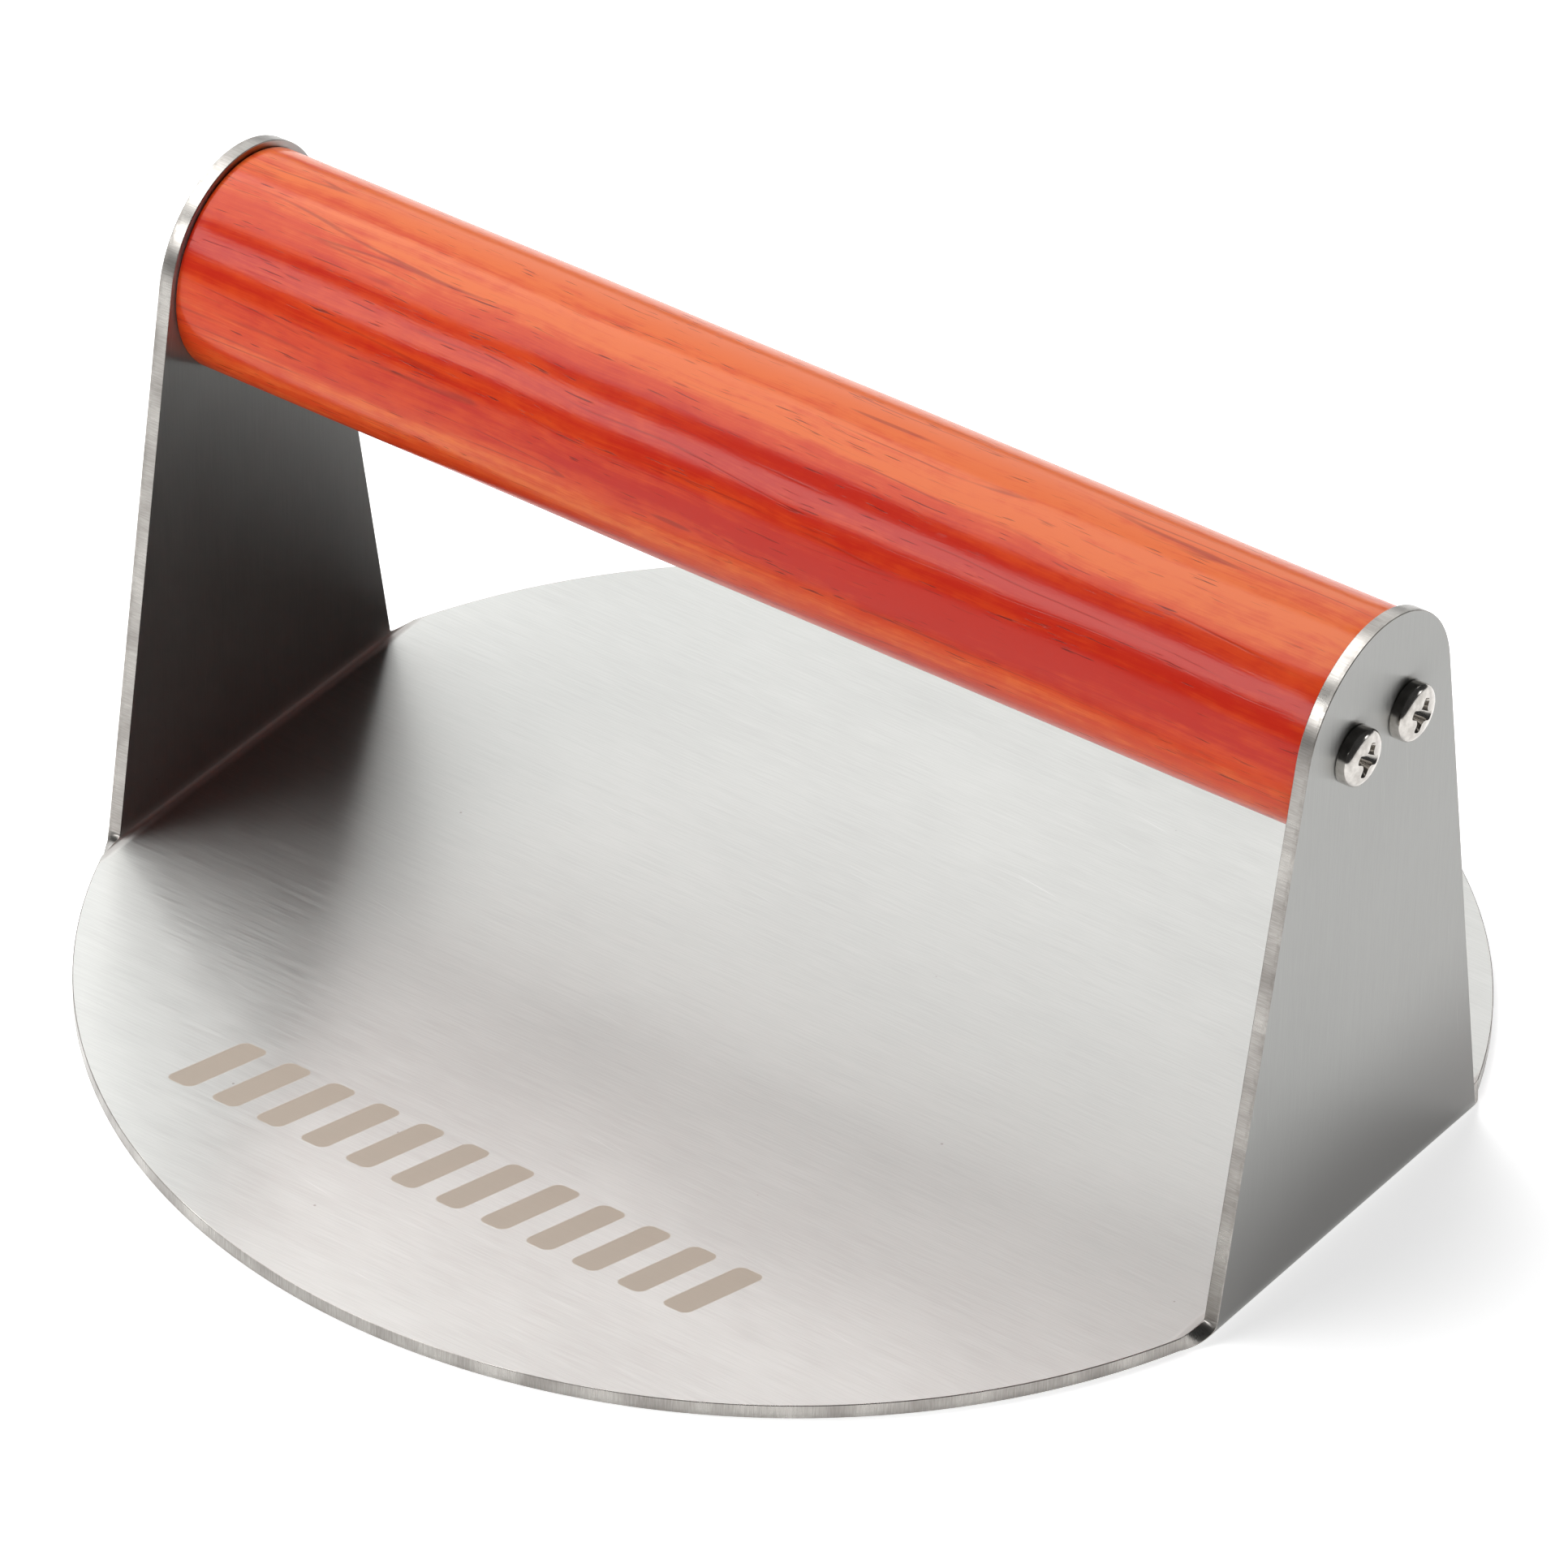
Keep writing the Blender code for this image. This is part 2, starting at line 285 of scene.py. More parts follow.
@dataclass(frozen=True)
class BrushedSteel:
    """Satin sheet whose grain runs along X before it is bent; lengths in millimetres."""

    name: str = "brushed_sheet"
    dark: Color = (0.360, 0.362, 0.351)
    light: Color = (0.410, 0.412, 0.400)
    etched: Color = (0.40, 0.345, 0.285)
    # painted highlight: lighter tone along the inner side of both bends
    bend_highlight_tone: Color = (0.50, 0.49, 0.47)
    # painted shade: darker tone on the tabs' outer faces, strongest near the bends
    shade: Color = (0.15, 0.145, 0.14)
    scratch_tone: Color = (0.62, 0.62, 0.61)
    speck_tone: Color = (0.20, 0.18, 0.16)
    roughness: float = 0.33
    anisotropy: float = 0.95
    quarter_turn: float = 0.25
    hair: Pattern = Pattern((7.0, 0.17), 4.0, 0.65)
    streak: Pattern = Pattern((48.0, 0.8))
    cloud: Pattern = Pattern((38.0, 24.0), 3.0, 0.55)
    scratch: Pattern = Pattern((16.0, 0.25), 1.0, 0.4)
    scratch_turn: float = math.radians(9.0)
    speck: Pattern = Pattern((8.0, 8.0))
    relief_height: float = 0.006
    # millimetres past a bend's start for the painted highlight along the inner bends and the painted shade
    # on the tabs' outer faces, and that shade's share over them
    highlight_from: Span = (-1.1, -0.1)
    highlight_to: Span = (1.5, 2.9)
    painted_shade_from: Span = (0.0, 2.5)
    painted_shade_over: Span = (2.0, 30.0)
    painted_shade_share: Span = (0.80, 0.18)
    motif: BarMotif = BarMotif()

    def bend_light_and_shade(self, graph: ShaderGraph, place: Socket) -> tuple[Socket, Socket]:
        """Where light and shade are painted onto the sheet beside the bends.

        Args:
            graph: the graph to build in.
            place: place on the sheet in millimetres.

        Returns:
            Where a painted highlight lies along the inner side of both bends, and how much painted shade
            darkens the tabs' outer faces, most near the bends.
        """
        along, across, _ = graph.parts(place)
        past = graph.less(graph.calc("ABSOLUTE", along), SheetSizes.bend_start / MILLIMETRE)
        inner = graph.calc("GREATER_THAN", across, -SheetSizes.under_shift / MILLIMETRE / 2)
        painted_highlight = graph.times(
            graph.ranged(past, *self.highlight_from), graph.ranged(past, *self.highlight_to, 1.0, 0.0)
        )
        painted_shade = graph.times(
            graph.ranged(past, *self.painted_shade_over, *self.painted_shade_share), graph.ranged(past, *self.painted_shade_from)
        )
        return graph.times(painted_highlight, inner), graph.times(painted_shade, graph.less(1.0, inner))

    def material(self) -> bpy.types.Material:
        """Build the shader.

        Returns:
            The finished material.
        """
        graph = ShaderGraph(self.name)
        place = graph.sheet_place(SheetSizes.uv_name)
        bend, painted_shade = self.bend_light_and_shade(graph, place)
        mark = self.motif.mask(graph, place)
        cloud = graph.noise(place, self.cloud)
        scratch = graph.noise(graph.turned(place, self.scratch_turn), self.scratch)
        scratch = graph.ranged(scratch, 0.76, 0.82)
        speck = graph.ranged(graph.specks(place, self.speck), 0.014, 0.026, 1.0, 0.0)

        grain = graph.times(graph.noise(place, self.streak), 0.18)
        grain = graph.fused(graph.noise(place, self.hair), 0.82, grain)
        tone = graph.ranged(graph.around(cloud, 0.4, grain), 0.28, 0.72)
        steel = graph.blend(tone, self.dark, self.light)
        steel = graph.blend(graph.times(scratch, 0.30), steel, self.scratch_tone)
        steel = graph.blend(graph.times(speck, 0.6), steel, self.speck_tone)
        # painted highlight: a lighter band along the inner side of both bends
        steel = graph.blend(bend, steel, self.bend_highlight_tone)
        # painted shade: the tabs' outer faces darker towards the bends
        steel = graph.blend(painted_shade, steel, self.shade)
        graph.set("Base Color", graph.blend(mark, steel, self.etched))

        rough = graph.around(cloud, 0.06, graph.around(grain, 0.22, self.roughness))
        graph.set("Roughness", graph.fused(mark, 0.24, graph.fused(bend, 0.30, rough)))
        # the painted highlight band is also less metallic, so that it takes diffuse light
        graph.set("Metallic", graph.fused(mark, -0.75, graph.fused(bend, -0.70, 1.0)))
        graph.set("Anisotropic", self.anisotropy)
        graph.set("Anisotropic Rotation", self.quarter_turn)
        tangent = graph.node("ShaderNodeTangent", {}, direction_type="UV_MAP", uv_map=SheetSizes.uv_name)
        graph.set("Tangent", tangent.outputs[0])
        relief = graph.fused(mark, -0.4, graph.fused(scratch, -0.15, grain))
        graph.set("Normal", graph.bump(relief, 0.20, self.relief_height))
        return graph.material


@dataclass(frozen=True)
class CutEdge:
    """Blanked edge of the sheet: fine cross striations, burnished bands and a duller lower third."""

    name: str = "cut_edge"
    dark: Color = (0.24, 0.225, 0.21)
    light: Color = (0.44, 0.425, 0.40)
    torn_tone: Color = (0.22, 0.20, 0.18)
    roughness: float = 0.30
    stria: Pattern = Pattern((0.13, 2.4), 2.0, 0.6)
    band: Pattern = Pattern((7.0, 9.0))
    torn: Pattern = Pattern((0.8, 0.5))
    relief_height: float = 0.010

    def material(self) -> bpy.types.Material:
        """Build the shader.

        Returns:
            The finished material.
        """
        graph = ShaderGraph(self.name)
        place = graph.sheet_place(SheetSizes.uv_name)
        _, height, _ = graph.parts(place)
        stria = graph.noise(place, self.stria)
        torn = graph.ranged(graph.noise(place, self.torn), 0.35, 0.65)
        lower = graph.times(graph.ranged(height, 0.30, 0.70, 1.0, 0.0), torn)
        tone = graph.fused(stria, 0.35, graph.times(graph.noise(place, self.band), 0.65))
        color = graph.blend(graph.ranged(tone, 0.30, 0.70), self.dark, self.light)
        graph.set("Base Color", graph.blend(graph.times(lower, 0.25), color, self.torn_tone))
        graph.set("Metallic", 1.0)
        rough = graph.around(tone, -0.35, self.roughness)
        graph.set("Roughness", graph.fused(lower, 0.12, rough))
        relief = graph.fused(lower, -0.4, stria)
        graph.set("Normal", graph.bump(relief, 0.35, self.relief_height))
        return graph.material


@dataclass(frozen=True)
class StainedWood:
    """Red-orange stained hardwood under a glossy lacquer, its grain along X; lengths in millimetres."""

    name: str = "red_stain"
    light: Color = (0.82, 0.150, 0.024)
    middle: Color = (0.68, 0.056, 0.006)
    deep: Color = (0.54, 0.016, 0.003)
    line: Color = (0.26, 0.016, 0.008)
    pore: Color = (0.13, 0.010, 0.006)
    roughness: float = 0.50
    radius: float = 13.6
    # direction of the painted shade's darkest side around the dowel
    shade_turn: float = math.radians(68.0)
    sway: Pattern = Pattern((55.0, 26.0, 26.0), 2.0, 0.45)
    sway_reach: float = 6.0
    band: Pattern = Pattern((120.0, 7.0, 7.0))
    streak: Pattern = Pattern((45.0, 1.3, 1.3), 3.0, 0.55)
    fibre: Pattern = Pattern((5.0, 0.20, 0.20), 2.0, 0.6)
    mottle: Pattern = Pattern((4.0, 2.4, 2.4), 3.0, 0.6)
    ring: Pattern = Pattern((140.0, 3.6, 3.6), 1.0, 0.4)
    ring_break: Pattern = Pattern((24.0, 1.6, 1.6))
    dash: Pattern = Pattern((5.0, 0.22, 0.22), 1.0)
    dash_patch: Pattern = Pattern((26.0, 3.0, 3.0), 1.0)
    sanding: Pattern = Pattern((0.20, 3.0, 3.0), 2.0, 0.6)
    swell: Pattern = Pattern((16.0, 5.0, 5.0), 1.0)
    relief_height: float = 0.026
    swell_height: float = 0.10
    coat: float = 0.55
    coat_roughness: float = 0.14
    coat_ior: float = 1.42
    specular: float = 0.08

    def painted_side_shade(self, graph: ShaderGraph, place: Socket) -> Socket:
        """Where painted shade darkens the dowel.

        Args:
            graph: the graph to build in.
            place: place in the dowel in millimetres.

        Returns:
            1 along the shaded front side of the dowel, about half below it and 0 on top.
        """
        _, across, up = graph.parts(place)
        lean = graph.times(across, -math.sin(self.shade_turn) / self.radius)
        lean = graph.fused(up, math.cos(self.shade_turn) / self.radius, lean)
        below = graph.ranged(up, -4.0, 5.0, 0.62, 0.0)
        return graph.calc("MAXIMUM", graph.ranged(lean, 0.64, 0.98), below)

    def swayed(self, graph: ShaderGraph, place: Socket) -> Socket:
        """The place that the grain is read at, so that its lines wander along the dowel.

        Args:
            graph: the graph to build in.
            place: place in the dowel in millimetres.

        Returns:
            The moved place.
        """
        drift = graph.times(graph.less(graph.noise(place, self.sway), 0.5), self.sway_reach)
        shift = graph.node("ShaderNodeCombineXYZ", {"Y": drift, "Z": graph.times(drift, 0.6)})
        return graph.vector("ADD", place, shift.outputs[0])

    def material(self) -> bpy.types.Material:
        """Build the shader.

        Returns:
            The finished material.
        """
        graph = ShaderGraph(self.name)
        place = graph.object_place()
        moved = self.swayed(graph, place)
        fibre = graph.noise(moved, self.fibre)
        ring = graph.calc("ABSOLUTE", graph.less(graph.noise(moved, self.ring), 0.5))
        broken = graph.ranged(graph.noise(moved, self.ring_break), 0.46, 0.64)
        lines = graph.times(graph.ranged(ring, 0.003, 0.013, 1.0, 0.0), broken)
        dense = graph.ranged(graph.noise(moved, self.dash_patch), 0.40, 0.60)
        pores = graph.times(graph.ranged(graph.noise(moved, self.dash), 0.655, 0.72), dense)

        # painted shade: the dowel darker along its front side and beneath, lighter on top
        tone = graph.fused(self.painted_side_shade(graph, place), 0.70, -0.35)
        tone = graph.around(graph.noise(moved, self.band), 1.5, tone)
        tone = graph.around(graph.noise(moved, self.streak), 0.8, tone)
        tone = graph.around(graph.noise(place, self.mottle), 0.5, tone)
        tone = graph.around(fibre, 0.45, tone)
        color = graph.blend(graph.ranged(tone, -0.42, 0.05), self.light, self.middle)
        color = graph.blend(graph.ranged(tone, -0.02, 0.50), color, self.deep)
        color = graph.blend(graph.times(lines, 0.50), color, self.line)
        graph.set("Base Color", graph.blend(graph.times(pores, 0.80), color, self.pore))

        graph.set("Roughness", graph.fused(pores, 0.25, self.roughness))
        graph.set("Coat Weight", self.coat)
        graph.set("Coat Roughness", self.coat_roughness)
        graph.set("Coat IOR", self.coat_ior)
        graph.set("Specular IOR Level", self.specular)
        relief = graph.fused(lines, -0.5, graph.fused(pores, -0.8, graph.times(fibre, 0.7)))
        relief = graph.fused(graph.noise(place, self.sanding), 0.25, relief)
        normal = graph.bump(relief, 0.5, self.relief_height)
        graph.set("Normal", normal)
        swell = graph.noise(place, self.swell)
        graph.set("Coat Normal", graph.bump(swell, 0.5, self.swell_height, normal))
        return graph.material


@dataclass(frozen=True)
class PolishedNickel:
    """Bright plated steel with light handling marks."""

    name: str = "plated_screw"
    dark: Color = (0.44, 0.415, 0.385)
    light: Color = (0.64, 0.615, 0.58)
    roughness: float = 0.17
    cloud: Pattern = Pattern((1.7, 1.7, 1.7), 3.0, 0.6)
    rub: Pattern = Pattern((2.2, 0.12, 0.5), 2.0, 0.6)
    relief_height: float = 0.008

    def material(self) -> bpy.types.Material:
        """Build the shader.

        Returns:
            The finished material.
        """
        graph = ShaderGraph(self.name)
        place = graph.object_place()
        cloud = graph.noise(place, self.cloud)
        rub = graph.noise(place, self.rub)
        graph.set("Base Color", graph.blend(graph.ranged(cloud, 0.3, 0.7), self.dark, self.light))
        graph.set("Metallic", 1.0)
        graph.set("Roughness", graph.around(rub, 0.22, self.roughness))
        graph.set("Normal", graph.bump(graph.fused(cloud, 2.0, rub), 0.3, self.relief_height))
        return graph.material


@dataclass(frozen=True)
class PaleFloor:
    """Matte pale table top."""

    name: str = "pale_floor"
    tone: Color = (0.80, 0.80, 0.80)
    glow_tone: Color = (1.0, 1.0, 1.0)
    glow: float = 0.70
    roughness: float = 0.9
    specular: float = 0.1

    def material(self) -> bpy.types.Material:
        """Build the shader.

        Returns:
            The finished material.
        """
        graph = ShaderGraph(self.name)
        graph.set("Base Color", self.tone)
        graph.set("Emission Color", self.glow_tone)
        graph.set("Emission Strength", self.glow)
        graph.set("Roughness", self.roughness)
        graph.set("Specular IOR Level", self.specular)
        return graph.material


# ---- mesh helpers ----


def link_object(name: str, mesh: bpy.types.Mesh) -> bpy.types.Object:
    """Make an object of a mesh and link it to the scene.

    Args:
        name: the object's name.
        mesh: its mesh.

    Returns:
        The object.
    """
    made = bpy.data.objects.new(name, mesh)
    bpy.context.scene.collection.objects.link(made)
    return made


def mesh_from(solid: bmesh.types.BMesh, name: str) -> bpy.types.Mesh:
    """Turn a bmesh into a mesh and free it.

    Args:
        solid: the bmesh.
        name: the mesh's name.

    Returns:
        The mesh.
    """
    mesh = bpy.data.meshes.new(name)
    solid.to_mesh(mesh)
    solid.free()
    return mesh


def arc(center: Vector, radius: float, start: float, end: float, steps: int) -> list[Vector]:
    """Points on an arc, both ends included.

    Args:
        center: the arc's centre.
        radius: its radius.
        start: first angle, in radians.
        end: last angle, in radians.
        steps: number of straight steps.

    Returns:
        The points in order.
    """
    turns = [start + (end - start) * step / steps for step in range(steps + 1)]
    return [center + radius * Vector((math.cos(turn), math.sin(turn))) for turn in turns]


def skin(rings: list[list[Vector]]) -> bmesh.types.BMesh:
    """Join closed rings of equal length into a solid of triangles with flat caps.

    Args:
        rings: the rings, from one end to the other.

    Returns:
        The solid.
    """
    solid = bmesh.new()
    made = [[solid.verts.new(point) for point in ring] for ring in rings]
    for low, high in zip(made, made[1:]):
        for index, vert in enumerate(low):
            after = (index + 1) % len(low)
            solid.faces.new((vert, low[after], high[after], high[index]))
    solid.faces.new(tuple(reversed(made[0])))
    solid.faces.new(made[-1])
    bmesh.ops.recalc_face_normals(solid, faces=solid.faces[:])
    bmesh.ops.triangulate(solid, faces=solid.faces[:])
    return solid


def round_ring(radius: float, height: float, segments: int) -> list[Vector]:
    """A level circle of points about Z."""
    turns = [math.tau * side / segments for side in range(segments)]
    return [Vector((radius * math.cos(turn), radius * math.sin(turn), height)) for turn in turns]


def cut_and_keep(target: bpy.types.Object, cutters: list[bpy.types.Object]) -> bpy.types.Mesh:
    """Cut an object and return the result, removing the object and its cutters.

    The cut is made at a thousand times the real size, where the finest corners stay apart.

    Args:
        target: the object to cut, with its place in its vertices.
        cutters: closed shapes to take away from it.

    Returns:
        The cut mesh at its real size.
    """
    for item in (target, *cutters):
        item.data.transform(Matrix.Scale(1 / MILLIMETRE, 4))
    for cutter in cutters:
        modifier = target.modifiers.new(cutter.name, "BOOLEAN")
        modifier.operation = "DIFFERENCE"
        modifier.solver = "EXACT"
        modifier.object = cutter
    bpy.context.view_layer.update()
    graph = bpy.context.evaluated_depsgraph_get()
    mesh = bpy.data.meshes.new_from_object(target.evaluated_get(graph))
    mesh.transform(Matrix.Scale(MILLIMETRE, 4))
    for spent in (target, *cutters):
        bpy.data.objects.remove(spent, do_unlink=True)
    return mesh


# ---- plate ----


@dataclass(frozen=True)
class SheetSizes:
    """Sizes of the bent sheet and the way it folds."""

    uv_name: ClassVar[str] = "unbent"
    under_shift: ClassVar[float] = 0.5  # keeps the underside apart from the top in the UV map
    disc_radius: float = 0.0825
    thickness: float = 0.0018
    bend_inner: float = 0.0004
    neutral_factor: float = 0.44
    bend_start: float = 0.0767
    splay: float = math.radians(0.8)
    tab_half_base: float = 0.0267
    tab_top_radius: float = 0.0143
    corner_radius: float = 0.0012
    handle_height: float = 0.0694
    screw_spacing: float = 0.0107
    screw_hole: float = 0.0041
    edge_ease: float = 0.00011

    @property
    def bend_outer(self) -> float:
        """Outer radius of a bend."""
        return self.bend_inner + self.thickness

    @property
    def neutral(self) -> float:
        """Radius at which the sheet keeps its length."""
        return self.bend_inner + self.neutral_factor * self.thickness

    @property
    def bend_angle(self) -> float:
        """How far a tab is folded."""
        return math.pi / 2 - self.splay

    @property
    def bend_length(self) -> float:
        """Length of flat sheet that one bend takes up."""
        return self.neutral * self.bend_angle

    def flat_reach(self, height: float) -> float:
        """Distance from the centre on the flat sheet of a place at this height on a tab."""
        bend_top = self.bend_outer * (1 - math.sin(self.splay))
        return self.bend_start + self.bend_length + (height - bend_top) / math.cos(self.splay)

    def face_x(self, height: float, bend_radius: float) -> float:
        """Distance of a tab's face from the centre at a height.

        Args:
            height: height above the resting plane.
            bend_radius: the bend's outer or inner radius, for the outer or inner face.

        Returns:
            The distance along X.
        """
        above = height - self.bend_outer + bend_radius * math.sin(self.splay)
        return self.bend_start + bend_radius * math.cos(self.splay) + above * math.tan(self.splay)

    def folded(self, place: Vector) -> Vector:
        """Where a point of the flat sheet lies once both tabs are up.

        Args:
            place: a point of the flat sheet.

        Returns:
            The same point of the bent sheet.
        """
        past = abs(place.x) - self.bend_start
        if past <= 0.0:
            return place.copy()
        radius = self.bend_outer - place.z
        angle = min(past / self.neutral, self.bend_angle)
        rise = max(past - self.bend_length, 0.0)
        x = self.bend_start + radius * math.sin(angle) + rise * math.cos(angle)
        z = self.bend_outer - radius * math.cos(angle) + rise * math.sin(angle)
        return Vector((math.copysign(x, place.x), place.y, z))


@dataclass
class PressPlate:
    """The round plate with its two folded tabs."""

    sizes: SheetSizes
    face: BrushedSteel
    edge: CutEdge
    rim_step: float = math.radians(1.0)
    top_steps: int = 56
    corner_steps: int = 10
    bend_steps: int = 20
    ease_steps: int = 3
    hole_segments: int = 32
    score_tolerance: float = 1e-7
    sharp: float = math.radians(40.0)

    def tab_half(self) -> list[Vector]:
        """Back half of the +X tab's outline, from its top down to the disc's rim.

        Returns:
            The points in order, on the flat sheet.
        """
        sizes = self.sizes
        top_center = Vector((sizes.flat_reach(sizes.handle_height), 0.0))
        base = Vector((sizes.flat_reach(0.0), sizes.tab_half_base))
        to_center = top_center - base
        lean = math.asin(sizes.tab_top_radius / to_center.length)
        edge_angle = math.atan2(to_center.y, to_center.x) + lean
        edge = Vector((math.cos(edge_angle), math.sin(edge_angle)))
        line = base + sizes.corner_radius * Vector((-edge.y, edge.x))
        reach = sizes.disc_radius + sizes.corner_radius
        along = line.dot(edge)
        corner = line + edge * (math.sqrt(along**2 - line.dot(line) + reach**2) - along)
        top = arc(top_center, sizes.tab_top_radius, 0.0, edge_angle + math.pi / 2, self.top_steps // 2)
        rim_angle = math.atan2(-corner.y, -corner.x)
        inside = arc(corner, sizes.corner_radius, edge_angle - math.pi / 2, rim_angle, self.corner_steps)
        return top + inside

    def outline(self) -> list[Vector]:
        """The flat sheet's outline, counter-clockwise.

        Returns:
            The points in order.
        """
        half = self.tab_half()
        start = math.atan2(half[-1].y, half[-1].x)
        steps = math.ceil((math.pi - 2 * start) / self.rim_step)
        rim = arc(Vector((0.0, 0.0)), self.sizes.disc_radius, start, math.pi - start, steps)
        mirrored = [Vector((point.x, -point.y)) for point in reversed(half[1:])]
        side = mirrored + half + rim[1:-1]
        return side + [-point for point in side]

    def edge_profile(self) -> Profile:
        """The sheet's eased edge, from the underside to the top.

        Returns:
            The inset from the outline and the height of each step.
        """
        ease = self.sizes.edge_ease
        quarter = [math.pi / 2 * step / self.ease_steps for step in range(self.ease_steps + 1)]
        low = [(ease * (1 - math.sin(turn)), ease * (1 - math.cos(turn))) for turn in quarter]
        return low + [(inset, self.sizes.thickness - height) for inset, height in reversed(low)]

    def flat_solid(self) -> bmesh.types.BMesh:
        """The flat sheet, with face places and edge places in its UV map.

        Returns:
            The solid, its cut edges in the second material.
        """
        points = self.outline()
        count = len(points)
        outward = []
        for index, point in enumerate(points):
            run = (points[(index + 1) % count] - points[index - 1]).normalized()
            outward.append(Vector((run.y, -run.x)))
        walked = [0.0]
        for index in range(count):
            walked.append(walked[-1] + (points[(index + 1) % count] - points[index]).length)
        solid = bmesh.new()
        uv = solid.loops.layers.uv.new(SheetSizes.uv_name)
        rings = []
        for inset, height in self.edge_profile():
            ring = [point - inset * normal for point, normal in zip(points, outward)]
            rings.append([solid.verts.new((point.x, point.y, height)) for point in ring])
        for low, high in zip(rings, rings[1:]):
            for index in range(count):
                after = (index + 1) % count
                made = solid.faces.new((low[index], low[after], high[after], high[index]))
                made.material_index = 1
                reach = (walked[index], walked[index + 1], walked[index + 1], walked[index])
                for loop, distance in zip(made.loops, reach):
                    loop[uv].uv = (distance, loop.vert.co.z)
        under = solid.faces.new(tuple(reversed(rings[0])))
        for made, shift in ((under, SheetSizes.under_shift), (solid.faces.new(rings[-1]), 0.0)):
            for loop in made.loops:
                loop[uv].uv = (loop.vert.co.x, loop.vert.co.y - shift)
        return solid

    def hole_pin(self, side: Side, rank: Rank) -> bpy.types.Object:
        """Pin that cuts one screw hole in the flat sheet.

        Args:
            side: the tab.
            rank: which of its two holes.

        Returns:
            The pin.
        """
        reach = self.sizes.flat_reach(self.sizes.handle_height)
        center = Vector((side.value * reach, rank.value * self.sizes.screw_spacing / 2, 0.0))
        rings = [
            [point + center for point in round_ring(self.sizes.screw_hole / 2, height, self.hole_segments)]
            for height in (-self.sizes.thickness, 2 * self.sizes.thickness)
        ]
        name = f"pin_{side.name}_{rank.name}"
        return link_object(name, mesh_from(skin(rings), name))

    def build(self) -> bpy.types.Object:
        """Cut, score and fold the sheet, and dress it.

        Returns:
            The finished plate.
        """
        blank = link_object("blank", mesh_from(self.flat_solid(), "blank"))
        blank.data.materials.append(self.face.material())
        blank.data.materials.append(self.edge.material())
        pins = [self.hole_pin(side, rank) for side in Side for rank in Rank]
        cut = cut_and_keep(blank, pins)
        sheet = bmesh.new()
        sheet.from_mesh(cut)
        for side in Side:
            for step in range(self.bend_steps + 1):
                reach = self.sizes.bend_start + self.sizes.bend_length * step / self.bend_steps
                bmesh.ops.bisect_plane(
                    sheet,
                    geom=sheet.verts[:] + sheet.edges[:] + sheet.faces[:],
                    dist=self.score_tolerance,
                    plane_co=(side.value * reach, 0.0, 0.0),
                    plane_no=(side.value, 0.0, 0.0),
                )
        for vert in sheet.verts:
            vert.co = self.sizes.folded(vert.co)
        sheet.to_mesh(cut)
        sheet.free()
        cut.name = "plate"
        cut.shade_smooth()
        cut.set_sharp_from_angle(angle=self.sharp)
        plate = link_object("plate", cut)
        weighted = plate.modifiers.new("face_normals", "WEIGHTED_NORMAL")
        weighted.keep_sharp = True
        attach(plate, BODY)
        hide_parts("press_plate")
        return plate


# ---- handle ----


